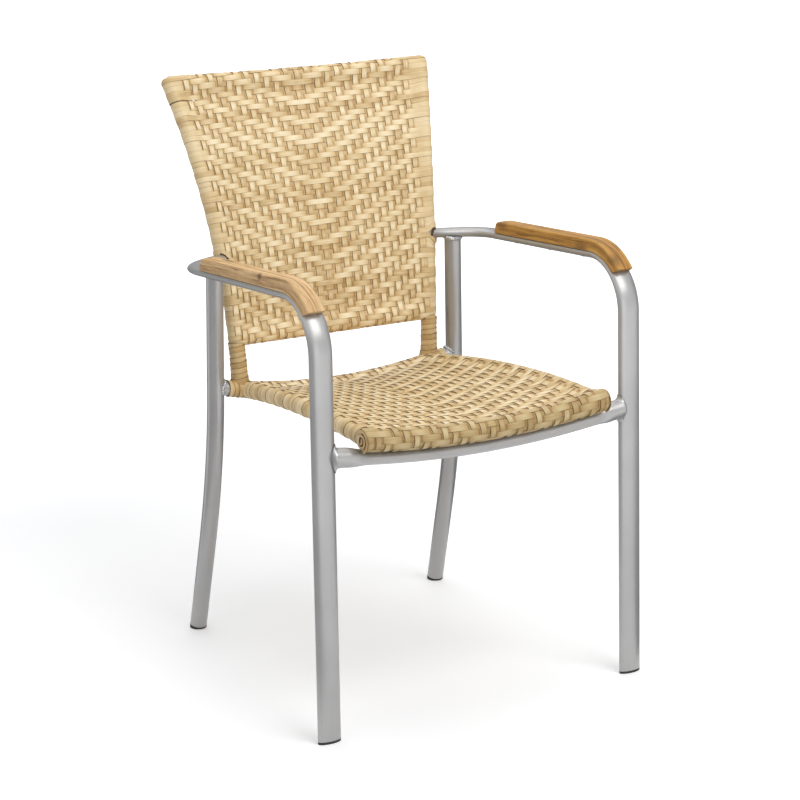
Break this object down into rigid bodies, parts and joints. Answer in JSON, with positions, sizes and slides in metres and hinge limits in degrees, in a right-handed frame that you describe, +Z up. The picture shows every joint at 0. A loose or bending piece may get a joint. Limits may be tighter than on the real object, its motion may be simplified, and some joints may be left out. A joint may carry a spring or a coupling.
{
  "type": "rattan bistro chair",
  "caption": "Stacking bistro armchair: bent aluminium tube frame, woven rattan-look seat and back, wooden arm caps and plastic glides.",
  "frame": {"origin": "on the floor, at the middle of the chair's footprint box", "axes": "+Z up, the chair faces -Y, +X is the sitter's left (right as seen from the front)"},
  "size_m": [0.55, 0.5828, 0.861],
  "materials": {
    "aluminium": "satin silver-grey aluminium tube",
    "weld": "rippled weld bead, a little brighter than the tube",
    "weave": "pale straw strands with fine lines along them, satin",
    "teak": "teak, lightly oiled, grain along the arm",
    "glide": "black moulded plastic",
    "steel": "plain stainless steel screw"
  },
  "bodies": {
    "root": {"left_side_tube": "aluminium", "left_rear_leg": "aluminium", "left_seat_rail": "aluminium", "left_back_upright": "aluminium", "left_upright_wrap": "weave", "left_stub_wrap": "weave", "left_arm_cap": "teak", "left_cap_screw_front": "steel", "left_cap_screw_middle": "steel", "left_cap_screw_rear": "steel", "left_seat_tab": "aluminium", "left_front_glide": "glide", "left_rear_glide": "glide", "left_weld_front_rail": "weld", "left_weld_rear_tube": "weld", "left_weld_under_arm": "weld", "left_weld_back": "weld", "right_side_tube": "aluminium", "right_rear_leg": "aluminium", "right_seat_rail": "aluminium", "right_back_upright": "aluminium", "right_upright_wrap": "weave", "right_stub_wrap": "weave", "right_arm_cap": "teak", "right_cap_screw_front": "steel", "right_cap_screw_middle": "steel", "right_cap_screw_rear": "steel", "right_seat_tab": "aluminium", "right_front_glide": "glide", "right_rear_glide": "glide", "right_weld_front_rail": "weld", "right_weld_rear_tube": "weld", "right_weld_under_arm": "weld", "right_weld_back": "weld", "front_rail": "aluminium", "rear_seat_tube": "aluminium", "front_seat_tube": "aluminium", "back_top_rail": "aluminium", "back_bottom_rail": "aluminium", "back_weave": "weave", "seat_weave": "weave"}
  },
  "joints": []
}
